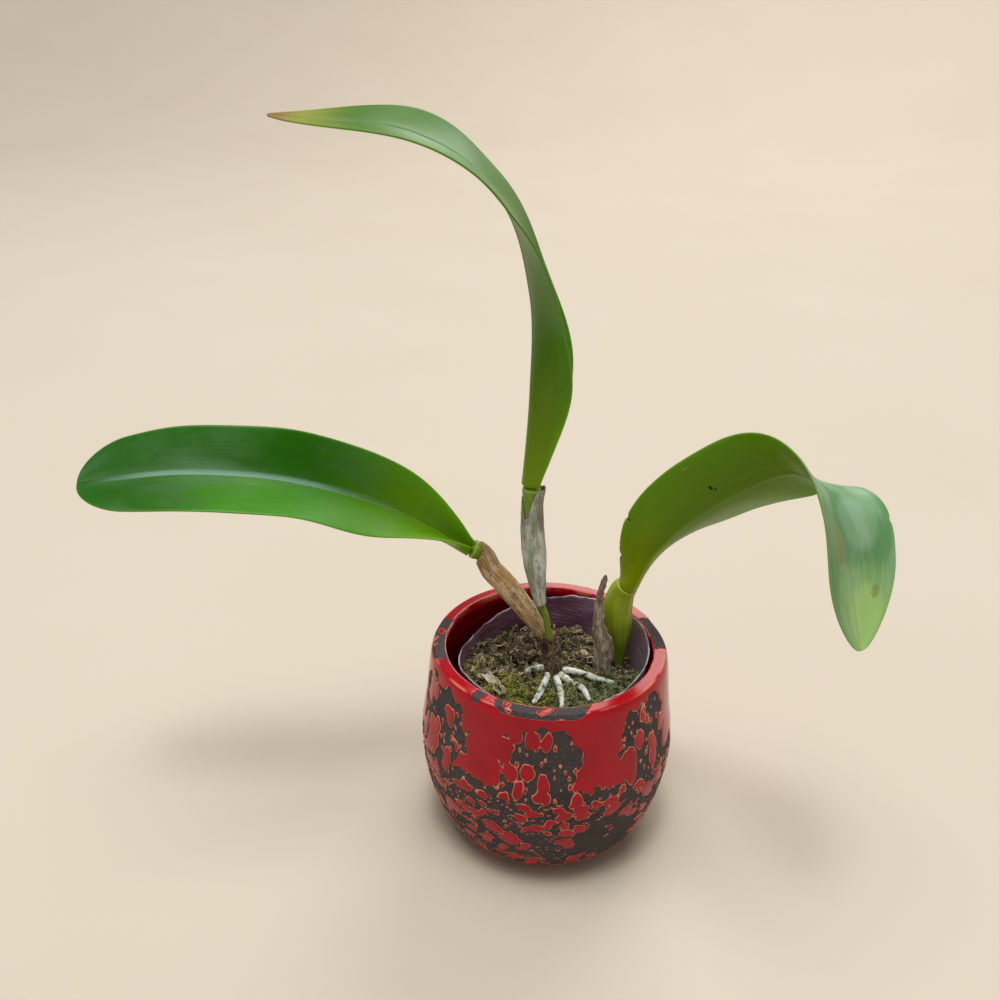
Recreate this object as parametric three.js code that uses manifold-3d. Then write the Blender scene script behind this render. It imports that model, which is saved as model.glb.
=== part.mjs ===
import * as THREE from "three";
import { mergeVertices } from "three/addons/utils/BufferGeometryUtils.js";
import Module from "manifold-3d";

// An orchid with three thick leaves, in a see-through inner pot that stands in a glazed cover pot.
// Millimetres, +Z up. The origin is the centre of the pot's flat base, and the front is towards -Y.

const wasm = await Module();
wasm.setup();

// Driving dimensions
const gap = 0.3;

const potHeight = 105;
const potBaseRadius = 43.6;
const potRimRadius = 58.2;
const potRimInnerRadius = 52.2;
const potRimDepth = 7;
const potRimRound = 0.6;
const potWall = 6;
const potFloor = 7;
const potFloorRadius = 43;
const potRings = 15;
const potSides = 60;
// Radius and height of the pot's flank from above its base to below its rim, widest at the belly
const potFlank = [[54, 8.4], [61.2, 26], [65, 52], [62, 79], [59.8, 99]];

const linerCentre = new THREE.Vector3(1.5, 0, 0);
const linerBottomRadius = 38;
const linerTopRadius = 49;
const linerWall = 0.9;
const linerSides = 48;
// Height of the inner pot's uneven top edge every 30 degrees, from +X towards +Y
const linerEdge = [107, 107, 106, 102, 98, 93, 96, 100, 100, 100, 102, 105];

// The medium's surface: its level, the waves in it and one hollow behind the rhizome
const mediumLevel = 83;
const mediumWaves = [
  { height: 1.1, alongX: 0.21, alongY: 0.1, phase: 1.3 },
  { height: 0.8, alongX: 0.33, alongY: -0.27, phase: 0.6 },
  { height: 0.5, alongX: 0.52, alongY: 0.41, phase: 1.6 },
];
const mediumHollow = { x: -10, y: 13, radius: 3, depth: 5 };
const mediumDip = 4;
const mediumCircles = 12;

const rootRadius = 1.7;
const rootTaper = [1, 1, 0.95, 0.6];

// The rhizome creeps under the moss and rises in a stub at the left
const rhizomePath = [
  [-1, 5, 106.5], [1, 4, 98], [3, 1, 90], [4, 1, 82],
  [12, 4, 77], [24, 9, 76.5], [36, 13, 76.5], [42, 15, 77],
];
const rhizomeRadii = [4.6, 5, 4.4, 4.4, 4.2, 4.2, 4.4, 3];

// Each leaf from foot to tip: its keel line, the way its upper face looks, its fold in degrees and its
// half widths. The left leaf lies open and spreads, the centre one stands and arches over at its top,
// and the right one rises with its back to the front and hangs over at its tip.
const leafLeft = {
  keel: [[-41, 24, 145], [-80, 22, 168], [-127, 14, 186], [-176, 8, 192], [-225, 3, 188]],
  facing: [[0.3, -0.55, 0.8], [0.1, -0.6, 0.8], [-0.15, -0.5, 0.85]],
  fold: [65, 22, 20, 12, 12],
  halfWidth: leafHalfWidths({ foot: 5.5, broad: 24.5, end: 18, broadFrom: 0.4, broadTo: 0.65 }),
};
const leafCentre = {
  keel: [[-11, 10, 188], [-10, 12, 234], [-12, 10, 280], [-26, 1, 322], [-62, -11, 348], [-117, -14, 354]],
  facing: [[1, -0.15, 0.1], [1, -0.05, 0.15], [0.8, 0, 0.55], [0.3, -0.2, 0.9], [-0.1, -0.15, 1]],
  fold: [50, 55, 20, 5, 10, 0],
  halfWidth: leafHalfWidths({ foot: 6, broad: 24, end: 8, broadFrom: 0.4, broadTo: 0.5 }),
};
const leafRight = {
  keel: [[39.5, 12, 131], [51, 0, 163], [75, -12, 194], [101, -30, 216], [115, -54, 204], [123, -79, 157]],
  facing: [
    [-0.3, 0.8, 0.55], [0, 0.85, 0.55], [0.3, 0.75, 0.55],
    [0.55, 0.35, 0.7], [0.5, -0.4, 0.75], [0.4, -0.75, 0.55],
  ],
  fold: [70, 34, 20, 6, 18, 12],
  halfWidth: leafHalfWidths({ foot: 7, broad: 25, end: 12, broadFrom: 0.38, broadTo: 0.75 }),
};
const leafTip = 0.12;
const leafMidThickness = [4.2, 2.6, 2.2, 1.8, 1.3];
const leafEdgeThickness = 0.9;
const leafStations = 26;
const leafStrips = 8;
// How far from the keel the fold's round bottom reaches, as a share of the half width
const leafValley = 0.15;

// Each stem's path up to its leaf, which adds the last points, and its radii
const stemLeft = {
  path: [[-3, 8, 104], [-8.5, 10.5, 112], [-15, 14, 119.5], [-22.5, 17.5, 127.5], [-30, 20.5, 135]],
  radii: [2.4, 3.4, 4.4, 4.8, 4.6, 4.2, 4],
};
const stemCentre = {
  path: [
    [0, 2, 105], [-2, 4, 117], [-5, 5, 125], [-7, 6, 136],
    [-8.5, 7, 148], [-9.7, 8, 160], [-10.6, 9, 172],
  ],
  radii: [1.7, 1.7, 2, 3.4, 4.6, 4.8, 4.2, 3.8, 3.8],
};
const stemRight = {
  path: [[37, 14, 79], [37.5, 14.5, 89], [37, 15, 98], [36, 15.5, 107], [35.3, 16, 116]],
  radii: [2, 3.4, 5.4, 6.9, 7.3, 6.4, 4.4],
};
const stemReach = 7;
const stemSides = 12;
const stemStations = 12;
const bulbRibs = 7;
const bulbRibDepth = 0.06;
const bulbSides = 28;

// Each papery sheath wraps its stem with a thin wall, between shares of the stem's path. Its end is
// slanted, and the centre one opens in a notch at the front left and flares at the right.
const sheathWall = 1;
const sheathLeft = { start: 0.01, end: 0.84, slant: 0.07, notch: 0, notchAngle: 0, flare: 0 };
const sheathCentre = { start: 0.24, end: 0.93, slant: 0.05, notch: 0.16, notchAngle: 4.1, flare: 2 };
const drySheath = {
  keel: [[27.5, 4, 81], [27, 4, 97], [24.5, 5, 112], [24.5, 6, 127], [27, 6, 141]],
  facing: [[0.4, 1, 0], [0.4, 1, 0]],
  fold: [40, 30, 20],
  halfWidth: [5, 6.5, 3.6, 1.9, 1.2],
};
const bract = {
  keel: [[-32, -1, 85], [-28, -8, 85.2], [-24, -15, 85], [-20, -22, 84.2]],
  facing: [[0, 0, 1], [0, 0, 1]],
  fold: [25, 20, 10],
  halfWidth: [2.8, 2.8, 2.2, 1.2],
};

const rootPaths = {
  root_a: [[0, -2, 86], [-3, -11, 85.2], [-5, -17, 85], [-8, -23, 84]],
  root_b: [[6, -2, 86.5], [12, -8, 85.4], [17, -12, 85.2], [20, -20, 84]],
  root_c: [[6, 1.5, 86], [12, 2.5, 85.4], [18, 0, 85.4], [27, -4, 85], [35, -6, 84]],
  root_d: [[4, -4, 86], [5.5, -12, 85.2], [6, -19, 85], [6, -26, 84]],
  root_e: [[-2, 4, 86], [-6, 4, 85.5], [-12, 2, 84.5]],
};

// A smooth curve through evenly spaced numbers, at t from 0 to 1
function smooth(values, t) {
  const last = values.length - 1;
  const place = Math.min(Math.max(t, 0) * last, last - 1e-9);
  const i = Math.floor(place);
  const u = place - i;
  const p1 = values[i];
  const p2 = values[i + 1];
  const p0 = i > 0 ? values[i - 1] : 2 * p1 - p2;
  const p3 = i + 2 <= last ? values[i + 2] : 2 * p2 - p1;
  const square = 2 * p0 - 5 * p1 + 4 * p2 - p3;
  const cube = 3 * p1 - p0 - 3 * p2 + p3;
  return 0.5 * (2 * p1 + (p2 - p0) * u + square * u * u + cube * u * u * u);
}

// Half widths of a leaf at even steps: it swells from its foot, keeps its breadth and narrows to its tip
function leafHalfWidths({ foot, broad, end, broadFrom, broadTo }) {
  const steps = 20;
  return Array.from({ length: steps + 1 }, (_, i) => {
    const t = i / steps;
    const swell = Math.sin((Math.PI / 2) * Math.min(t / broadFrom, 1));
    const narrowing = Math.max(0, (t - broadTo) / (1 - broadTo)) ** 2;
    return foot + (broad - foot) * swell - (broad - end) * narrowing;
  });
}

function smoothPoint(points, t) {
  const along = (axis) => smooth(points.map((point) => point[axis]), t);
  return new THREE.Vector3(along(0), along(1), along(2));
}

function heading(points, t) {
  const step = 0.002;
  const ahead = smoothPoint(points, Math.min(t + step, 1));
  const behind = smoothPoint(points, Math.max(t - step, 0));
  return ahead.sub(behind).normalize();
}

// A closed body through rings of points. Its ends are fans, or strips across a blade's two faces,
// or the last ring joins the first. A blade's faces are split into triangles alike.
function bodyFromRings(rings, ends = "fan") {
  const count = rings[0].length;
  const points = rings.flat();
  const faces = [];
  const spans = ends === "joined" ? rings.length : rings.length - 1;
  for (let i = 0; i < spans; i += 1) {
    const next = (i + 1) % rings.length;
    for (let k = 0; k < count; k += 1) {
      const a = i * count + k;
      const b = i * count + ((k + 1) % count);
      const c = next * count + ((k + 1) % count);
      const d = next * count + k;
      if (ends === "strip" && k >= count / 2) {
        faces.push(a, b, d, b, c, d);
      } else {
        faces.push(a, b, c, a, c, d);
      }
    }
  }
  const closeEnd = (ring, first, reversed) => {
    const triangle = (a, b, c) => (reversed ? faces.push(c, b, a) : faces.push(a, b, c));
    if (ends === "strip") {
      for (let k = 0; k < count / 2 - 1; k += 1) {
        triangle(first + k, first + count - 2 - k, first + k + 1);
        triangle(first + k, first + count - 1 - k, first + count - 2 - k);
      }
      return;
    }
    const middle = new THREE.Vector3();
    ring.forEach((point) => middle.addScaledVector(point, 1 / count));
    points.push(middle);
    for (let k = 0; k < count; k += 1) {
      triangle(points.length - 1, first + ((k + 1) % count), first + k);
    }
  };
  if (ends !== "joined") {
    closeEnd(rings[0], 0, false);
    closeEnd(rings.at(-1), (rings.length - 1) * count, true);
  }
  return facingOut(points, faces);
}

// Turns the faces round where they enclose a negative volume
function facingOut(points, faces) {
  let volume = 0;
  for (let i = 0; i < faces.length; i += 3) {
    const [a, b, c] = [points[faces[i]], points[faces[i + 1]], points[faces[i + 2]]];
    volume += a.dot(b.clone().cross(c));
  }
  const geometry = new THREE.BufferGeometry();
  geometry.setFromPoints(points);
  geometry.setIndex(volume < 0 ? faces.reverse() : faces);
  return geometry;
}

function toSolid(geometry) {
  const plain = geometry.clone();
  plain.deleteAttribute("normal");
  plain.deleteAttribute("uv");
  const merged = mergeVertices(plain, 1e-4);
  const vertProperties = new Float32Array(merged.attributes.position.array);
  const triVerts = new Uint32Array(merged.index.array);
  return new wasm.Manifold(new wasm.Mesh({ numProp: 3, vertProperties, triVerts }));
}

// Cuts the tools out of a body
function cut(geometry, ...tools) {
  let solid = toSolid(geometry);
  tools.forEach((tool) => {
    solid = solid.subtract(toSolid(tool));
  });
  const mesh = solid.getMesh();
  const result = new THREE.BufferGeometry();
  result.setAttribute("position", new THREE.BufferAttribute(mesh.vertProperties, 3));
  result.setIndex(new THREE.BufferAttribute(mesh.triVerts, 1));
  return result;
}

// A round body along a path. extra makes it fatter and longer, for the hole that it stands in.
function stalk(path, radii, { sides = stemSides, stations = stemStations, extra = 0, upright = true,
  ribs = 0 } = {}) {
  const reference = upright ? new THREE.Vector3(0, 1, 0) : new THREE.Vector3(0, 0, 1);
  const rings = [];
  for (let i = 0; i <= stations; i += 1) {
    const t = i / stations;
    const along = heading(path, t);
    const across = reference.clone().cross(along).normalize();
    const back = along.clone().cross(across);
    const centre = smoothPoint(path, t);
    if (i === 0) {
      centre.addScaledVector(along, -extra);
    }
    if (i === stations) {
      centre.addScaledVector(along, extra);
    }
    const ring = [];
    for (let k = 0; k < sides; k += 1) {
      const angle = (2 * Math.PI * k) / sides;
      const rib = ribs ? 1 + bulbRibDepth * Math.cos(ribs * angle) : 1;
      const radius = smooth(radii, t) * rib + extra;
      ring.push(
        centre.clone()
          .addScaledVector(across, radius * Math.cos(angle))
          .addScaledVector(back, radius * Math.sin(angle)),
      );
    }
    rings.push(ring);
  }
  return bodyFromRings(rings);
}

// A folded blade: thick at the keel, thinner at its margins, with a rounded tip
function blade(shape, { tip = leafTip, mid = leafMidThickness, edge = leafEdgeThickness,
  stations = leafStations, strips = leafStrips, extra = 0 } = {}) {
  const wholeHeight = Math.hypot(1, leafValley) - leafValley;
  const height = (u) => (Math.hypot(u, leafValley) - leafValley) / wholeHeight;
  // Stations crowd towards the tip, where the outline turns fastest, and stop just short of it
  const lastShare = 0.995;
  const crowding = 1.5;
  const rings = [];
  for (let i = 0; i <= stations; i += 1) {
    const t = lastShare * (1 - (1 - i / stations) ** crowding);
    const along = heading(shape.keel, t);
    const face = smoothPoint(shape.facing, t);
    face.addScaledVector(along, -face.dot(along)).normalize();
    const side = along.clone().cross(face);
    const pastTip = Math.min(Math.max((t - (1 - tip)) / tip, 0), 1);
    const halfWidth = smooth(shape.halfWidth, t) * Math.sqrt(1 - pastTip * pastTip) + extra;
    const fold = THREE.MathUtils.degToRad(smooth(shape.fold, t));
    const run = halfWidth * Math.cos(fold);
    const rise = halfWidth * Math.sin(fold);
    const upper = [];
    const lower = [];
    for (let k = 0; k <= strips; k += 1) {
      const u = (2 * k) / strips - 1;
      const slope = (rise * u) / (Math.hypot(u, leafValley) * wholeHeight);
      const tilt = Math.hypot(run, slope);
      const thickness = edge + (smooth(mid, t) - edge) * (1 - Math.abs(u)) + 2 * extra;
      const across = run * u;
      const up = rise * height(u) + extra;
      const place = (x, y) => smoothPoint(shape.keel, t).addScaledVector(side, x).addScaledVector(face, y);
      upper.push(place(across, up));
      lower.push(place(across + (thickness * slope) / tilt, up - (thickness * run) / tilt));
    }
    rings.push([...upper, ...lower.reverse()]);
  }
  return bodyFromRings(rings, "strip");
}

// A stem's whole path: its last stretch runs straight into the middle of its leaf's foot
function pathToLeaf(stem, leaf) {
  const foot = smoothPoint(leaf.keel, 0);
  const along = heading(leaf.keel, 0);
  const face = new THREE.Vector3(...leaf.facing[0]);
  face.addScaledVector(along, -face.dot(along)).normalize();
  const rise = leaf.halfWidth[0] * Math.sin(THREE.MathUtils.degToRad(leaf.fold[0]));
  const middle = (rise - leafMidThickness[0]) / 2;
  const top = foot.addScaledVector(face, middle).addScaledVector(along, -gap);
  const below = top.clone().addScaledVector(along, -stemReach);
  return [...stem.path, below.toArray(), top.toArray()];
}

// A thin sleeve round a stem, with the stem's own sides. What stands in it or under it is cut out of it.
function sleeve(path, radii, sheath, seats) {
  const reference = new THREE.Vector3(0, 1, 0);
  const endAt = (angle) => {
    const notch = sheath.notch * Math.max(0, Math.cos(angle - sheath.notchAngle)) ** 3;
    return sheath.end + sheath.slant * Math.cos(angle) - notch;
  };
  const point = (k, i, offset) => {
    const angle = (2 * Math.PI * k) / stemSides;
    const part = i / stemStations;
    const t = sheath.start + (endAt(angle) - sheath.start) * part;
    const along = heading(path, t);
    const across = reference.clone().cross(along).normalize();
    const back = along.clone().cross(across);
    const flare = sheath.flare * Math.max(0, Math.cos(angle)) ** 2 * part ** 4;
    const radius = smooth(radii, t) + offset + flare;
    return smoothPoint(path, t)
      .addScaledVector(across, radius * Math.cos(angle))
      .addScaledVector(back, radius * Math.sin(angle));
  };
  const ring = (i, offset) => Array.from({ length: stemSides }, (_, k) => point(k, i, offset));
  const rings = [];
  for (let i = 0; i <= stemStations; i += 1) {
    rings.push(ring(i, gap + sheathWall));
  }
  for (let i = stemStations; i >= 0; i -= 1) {
    rings.push(ring(i, -gap));
  }
  return cut(bodyFromRings(rings, "joined"), rhizomeSeat, ...seats);
}

function ceramicPot() {
  const point = ([radius, height]) => new THREE.Vector2(radius, height);
  const flank = [[potBaseRadius, 0], ...potFlank, [potRimRadius, potHeight - potRimRound]];
  const outside = new THREE.SplineCurve(flank.map(point)).getPoints(potRings);
  const inside = outside
    .filter(({ y }) => y > potFloor + potWall && y < potHeight - potRimDepth)
    .map(({ x, y }) => point([x - potWall, y]))
    .reverse();
  const outline = [
    point([0, 0]),
    ...outside,
    point([potRimRadius - 2 * potRimRound, potHeight]),
    point([potRimInnerRadius, potHeight]),
    point([potRimInnerRadius, potHeight - potRimDepth]),
    ...inside,
    point([potFloorRadius, potFloor]),
    point([0, potFloor]),
  ];
  const geometry = new THREE.LatheGeometry(outline, potSides);
  geometry.rotateX(Math.PI / 2);
  return cut(geometry);
}

function linerRadius(z) {
  const share = (z - potFloor) / (potHeight - potFloor);
  return linerBottomRadius + (linerTopRadius - linerBottomRadius) * share;
}

function linerEdgeAt(angle) {
  return smooth([...linerEdge, linerEdge[0]], angle / (2 * Math.PI));
}

// A ring round the inner pot's axis
function ringAt(radiusAt, heightAt) {
  return Array.from({ length: linerSides }, (_, k) => {
    const angle = (2 * Math.PI * k) / linerSides;
    const height = heightAt(angle);
    const radius = radiusAt(height);
    return new THREE.Vector3(radius * Math.cos(angle), radius * Math.sin(angle), height).add(linerCentre);
  });
}

function innerPot() {
  const outside = (z) => linerRadius(z);
  const inside = (z) => linerRadius(z) - linerWall;
  const bottom = potFloor + gap;
  return bodyFromRings([
    ringAt(outside, () => bottom),
    ringAt(outside, () => mediumLevel),
    ringAt(outside, linerEdgeAt),
    ringAt(inside, linerEdgeAt),
    ringAt(inside, () => mediumLevel),
    ringAt(inside, () => bottom + linerWall),
  ]);
}

function mediumHeight(x, y) {
  const { radius, depth } = mediumHollow;
  const away = Math.hypot(x - mediumHollow.x, y - mediumHollow.y);
  const hollow = depth * Math.exp(-((away / radius) ** 2) / 2);
  const waves = mediumWaves.map((wave) => (
    wave.height * Math.sin(wave.alongX * x + wave.alongY * y + wave.phase)
  ));
  return mediumLevel + waves.reduce((sum, wave) => sum + wave, 0) - hollow;
}

// The settled moss and bark. Its rim is as wide as the tapering pot is at the surface's lowest dip.
function growingMedium(holes) {
  const inside = (z) => linerRadius(z) - linerWall - gap;
  const bottom = potFloor + linerWall + 2 * gap;
  const rings = [ringAt(inside, () => bottom)];
  for (let i = 0; i < mediumCircles; i += 1) {
    const share = 1 - i / mediumCircles;
    const flat = ringAt(() => inside(mediumLevel - mediumDip) * share, () => mediumLevel);
    rings.push(flat.map((point) => new THREE.Vector3(point.x, point.y, mediumHeight(point.x, point.y))));
  }
  return cut(bodyFromRings(rings), ...holes);
}

const rhizomeBody = (extra) => stalk(rhizomePath, rhizomeRadii, { stations: 18, extra });
const rootBody = (path, extra) => {
  const radii = rootTaper.map((share) => rootRadius * share);
  return stalk(path, radii, { sides: 8, stations: 9, extra, upright: false });
};
const dryBody = (extra) => blade(drySheath, {
  tip: 0.15, mid: [0.9, 0.9], edge: 0.8, stations: 12, strips: 6, extra,
});
const bractBody = (extra) => blade(bract, {
  tip: 0.3, mid: [1, 1], edge: 0.8, stations: 8, strips: 4, extra,
});

const leftPath = pathToLeaf(stemLeft, leafLeft);
const centrePath = pathToLeaf(stemCentre, leafCentre);
const rightPath = pathToLeaf(stemRight, leafRight);
const leftStem = (extra) => stalk(leftPath, stemLeft.radii, { extra });
const centreStem = (extra) => stalk(centrePath, stemCentre.radii, { stations: 16, extra });
const rightBulb = (extra) => stalk(rightPath, stemRight.radii, {
  sides: bulbSides, stations: 14, extra, ribs: bulbRibs,
});
const rhizomeSeat = rhizomeBody(gap);

const potRed = { color: 0x6e1410, roughness: 0.15, metalness: 0 };
const linerPlastic = { color: 0x8a7f92, roughness: 0.3, metalness: 0, transparent: true, opacity: 0.4 };
const mossGreen = { color: 0x5c5f33, roughness: 1, metalness: 0 };
const rhizomeBrown = { color: 0x6b4a2c, roughness: 0.8, metalness: 0 };
const stemGreen = { color: 0x8fa03c, roughness: 0.5, metalness: 0 };
const leafGreen = { color: 0x47612f, roughness: 0.4, metalness: 0 };
const paper = { color: 0x9c8e78, roughness: 0.9, metalness: 0 };
const rootWhite = { color: 0xb9b6a4, roughness: 0.85, metalness: 0 };

const group = new THREE.Group();

function addPiece(name, geometry, finish) {
  const mesh = new THREE.Mesh(geometry, new THREE.MeshStandardMaterial(finish));
  mesh.name = name;
  group.add(mesh);
}

addPiece("ceramic_pot", ceramicPot(), potRed);
addPiece("inner_pot", innerPot(), linerPlastic);
addPiece("rhizome", rhizomeBody(0), rhizomeBrown);

addPiece("pseudobulb_left", cut(leftStem(0), rhizomeSeat), stemGreen);
addPiece("pseudobulb_centre", cut(centreStem(0), rhizomeSeat), stemGreen);
addPiece("pseudobulb_right", cut(rightBulb(0), rhizomeSeat), stemGreen);

addPiece("leaf_left", blade(leafLeft), leafGreen);
addPiece("leaf_centre", blade(leafCentre), leafGreen);
addPiece("leaf_right", blade(leafRight), leafGreen);

const leftSeats = [leftStem(gap), centreStem(gap)];
addPiece("sheath_left", sleeve(leftPath, stemLeft.radii, sheathLeft, leftSeats), paper);
addPiece("sheath_centre", sleeve(centrePath, stemCentre.radii, sheathCentre, [centreStem(gap)]), paper);
addPiece("dry_sheath_right", cut(dryBody(0), rhizomeSeat, rightBulb(gap)), paper);
addPiece("old_bract", bractBody(0), paper);

// Each root gives way to the rhizome and to the roots before it
const rootSeats = [];
Object.entries(rootPaths).forEach(([name, path]) => {
  addPiece(name, cut(rootBody(path, 0), rhizomeSeat, ...rootSeats), rootWhite);
  rootSeats.push(rootBody(path, gap));
});

const holes = [rhizomeSeat, rightBulb(gap), dryBody(gap), bractBody(gap), ...rootSeats];
addPiece("growing_medium", growingMedium(holes), mossGreen);

export default group;
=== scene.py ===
import math

import bpy
import numpy as np
from mathutils import Matrix, Vector, noise


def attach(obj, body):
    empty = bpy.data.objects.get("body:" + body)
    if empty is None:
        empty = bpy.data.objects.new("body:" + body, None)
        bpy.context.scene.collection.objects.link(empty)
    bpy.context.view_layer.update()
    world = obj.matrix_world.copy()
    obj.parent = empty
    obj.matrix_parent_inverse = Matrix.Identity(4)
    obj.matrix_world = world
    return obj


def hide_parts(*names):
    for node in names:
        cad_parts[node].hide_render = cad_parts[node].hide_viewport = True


# An orchid with three thick leaves, in a thin see-through pot that stands in a glazed cover pot.
# Shapes are worked out in millimetres in the frame's axes and become metres in their meshes.

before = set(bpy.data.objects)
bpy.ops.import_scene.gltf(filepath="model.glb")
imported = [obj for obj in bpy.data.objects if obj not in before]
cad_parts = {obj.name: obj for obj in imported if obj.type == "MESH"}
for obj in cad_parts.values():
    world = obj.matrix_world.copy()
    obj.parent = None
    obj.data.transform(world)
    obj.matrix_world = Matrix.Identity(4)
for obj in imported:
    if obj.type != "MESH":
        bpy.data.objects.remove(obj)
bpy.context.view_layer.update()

MM = 0.001
UP = np.array([0.0, 0.0, 1.0])
BACK = np.array([0.0, 1.0, 0.0])

# Camera, as it stood for the photograph
CAMERA_PLACE = (-0.026, -0.4195, 0.3935)
CAMERA_PITCH = 63.5
CAMERA_ROLL = 0.9
CAMERA_LENS = 36

# Glazed pot: the outline of its flank from the base up, in radius and height
POT_HEIGHT = 105
POT_FLANK = [[43.6, 0], [54, 8.4], [61.2, 26], [65, 52], [62, 79], [59.8, 99], [58.2, 104.4]]
POT_RIM_INNER = 52.2
POT_RIM_DEPTH = 7
POT_WALL = 6
POT_FLOOR = 7
POT_SIDES = 400
POT_FLANK_ROWS = 186
GLAZE_DEPTH = 0.45

# Thin inner pot
LINER_X = 1.5
LINER_BOTTOM = 38
LINER_TOP = 49
LINER_WALL = 0.7
LINER_EDGE = [107, 107, 106, 102, 98, 93, 96, 100, 100, 100, 102, 105]

# Moss and bark
MEDIUM_LEVEL = 83
MEDIUM_WAVES = [(1.1, 0.21, 0.1, 1.3), (0.8, 0.33, -0.27, 0.6), (0.5, 0.52, 0.41, 1.6)]
MEDIUM_HOLLOW = (-10, 13, 3, 5)

# Creeping stem
RHIZOME = [[-1, 5, 106.5], [1, 4, 98], [3, 1, 90], [4, 1, 82],
           [12, 4, 77], [24, 9, 76.5], [36, 13, 76.5], [42, 15, 77]]
RHIZOME_RADII = [4.6, 5, 4.4, 4.4, 4.2, 4.2, 4.4, 3]


def leaf_half_widths(foot, broad, end, broad_from, broad_to):
    """Half widths at even steps: a leaf swells from its foot, keeps its breadth and narrows."""
    t = np.linspace(0, 1, 21)
    swell = np.sin(np.pi / 2 * np.minimum(t / broad_from, 1))
    narrowing = np.maximum(0, (t - broad_to) / (1 - broad_to)) ** 2
    return foot + (broad - foot) * swell - (broad - end) * narrowing


# Each leaf from foot to tip: keel line, the way its upper face looks, fold in degrees, half widths
LEAF_LEFT = {
    "keel": [[-41, 24, 145], [-80, 22, 168], [-127, 14, 186], [-176, 8, 192], [-225, 3, 188]],
    "facing": [[0.3, -0.55, 0.8], [0.1, -0.6, 0.8], [-0.15, -0.5, 0.85]],
    "fold": [65, 22, 20, 12, 12],
    "half_width": leaf_half_widths(5.5, 24.5, 18, 0.4, 0.65),
}
LEAF_CENTRE = {
    "keel": [[-11, 10, 188], [-10, 12, 234], [-12, 10, 280], [-26, 1, 322], [-62, -11, 348],
             [-117, -14, 354]],
    "facing": [[1, -0.15, 0.1], [1, -0.05, 0.15], [0.8, 0, 0.55], [0.3, -0.2, 0.9],
               [-0.1, -0.15, 1]],
    "fold": [50, 55, 20, 5, 10, 0],
    "half_width": leaf_half_widths(6, 24, 8, 0.4, 0.5),
}
LEAF_RIGHT = {
    "keel": [[39.5, 12, 131], [51, 0, 163], [75, -12, 194], [101, -30, 216], [115, -54, 204],
             [123, -79, 157]],
    "facing": [[-0.3, 0.8, 0.55], [0, 0.85, 0.55], [0.3, 0.75, 0.55], [0.55, 0.35, 0.7],
               [0.5, -0.4, 0.75], [0.4, -0.75, 0.55]],
    "fold": [70, 34, 20, 6, 18, 12],
    "half_width": leaf_half_widths(7, 25, 12, 0.38, 0.75),
}
LEAF_TIP = 0.12
LEAF_MIDDLE = [4.2, 2.6, 2.2, 1.8, 1.3]
LEAF_EDGE = 0.9
LEAF_VALLEY = 0.15
LEAF_SOFT_VALLEY = 0.34
LEAF_WAVE = 0.7
LEAF_GROOVE = 0.35
LEAF_STATIONS = 230
LEAF_STRIPS = 56
NECK_LENGTH = 0.035

# Each stem's path up to its leaf, and its radii
STEM_LEFT = [[-3, 8, 104], [-8.5, 10.5, 112], [-15, 14, 119.5], [-22.5, 17.5, 127.5],
             [-30, 20.5, 135]]
STEM_LEFT_RADII = [2.4, 3.4, 4.4, 4.8, 4.6, 4.2, 4]
STEM_CENTRE = [[0, 2, 105], [-2, 4, 117], [-5, 5, 125], [-7, 6, 136], [-8.5, 7, 148],
               [-9.7, 8, 160], [-10.6, 9, 172]]
STEM_CENTRE_RADII = [1.7, 1.7, 2, 3.4, 4.6, 4.8, 4.2, 3.8, 3.8]
STEM_RIGHT = [[37, 14, 79], [37.5, 14.5, 89], [37, 15, 98], [36, 15.5, 107], [35.3, 16, 116]]
STEM_RIGHT_RADII = [2, 3.4, 5.4, 6.9, 7.3, 6.4, 4.4]
STEM_REACH = 7
STEM_GAP = 0.3

DRY_SHEATH = {
    "keel": [[27.5, 4, 81], [27, 4, 97], [24.5, 5, 112], [24.5, 6, 127], [27, 6, 141]],
    "facing": [[0.4, 1, 0], [0.4, 1, 0]],
    "fold": [40, 30, 20],
    "half_width": [5, 6.5, 3.6, 1.9, 1.2],
}
BRACT = {
    "keel": [[-32, -1, 85], [-28, -8, 85.2], [-24, -15, 85], [-20, -22, 84.2]],
    "facing": [[0, 0, 1], [0, 0, 1]],
    "fold": [25, 20, 10],
    "half_width": [2.8, 2.8, 2.2, 1.2],
}
ROOTS = {
    "root_a": [[0, -2, 86], [-3, -11, 85.2], [-5, -17, 85], [-8, -23, 84]],
    "root_b": [[6, -2, 86.5], [12, -8, 85.4], [17, -12, 85.2], [20, -20, 84]],
    "root_c": [[6, 1.5, 86], [12, 2.5, 85.4], [18, 0, 85.4], [27, -4, 85], [35, -6, 84]],
    "root_d": [[4, -4, 86], [5.5, -12, 85.2], [6, -19, 85], [6, -26, 84]],
    "root_e": [[-2, 4, 86], [-6, 4, 85.5], [-12, 2, 84.5]],
}
ROOT_RADIUS = 1.7
ROOT_TAPER = [1, 1, 0.95, 0.6]


# Camera and stage

def placed(name, data):
    """A new object in the scene."""
    made = bpy.data.objects.new(name, data)
    bpy.context.scene.collection.objects.link(made)
    return made


camera = placed("camera", bpy.data.cameras.new("camera"))
bpy.context.scene.camera = camera
camera.data.sensor_width = 36
camera.data.lens = CAMERA_LENS
camera.data.clip_start = 0.01
camera.location = CAMERA_PLACE
camera_turn = Matrix.Rotation(math.radians(CAMERA_PITCH), 3, "X")
camera.rotation_euler = (camera_turn @ Matrix.Rotation(math.radians(CAMERA_ROLL), 3, "Z")).to_euler()
bpy.context.scene.view_settings.view_transform = "Standard"


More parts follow.
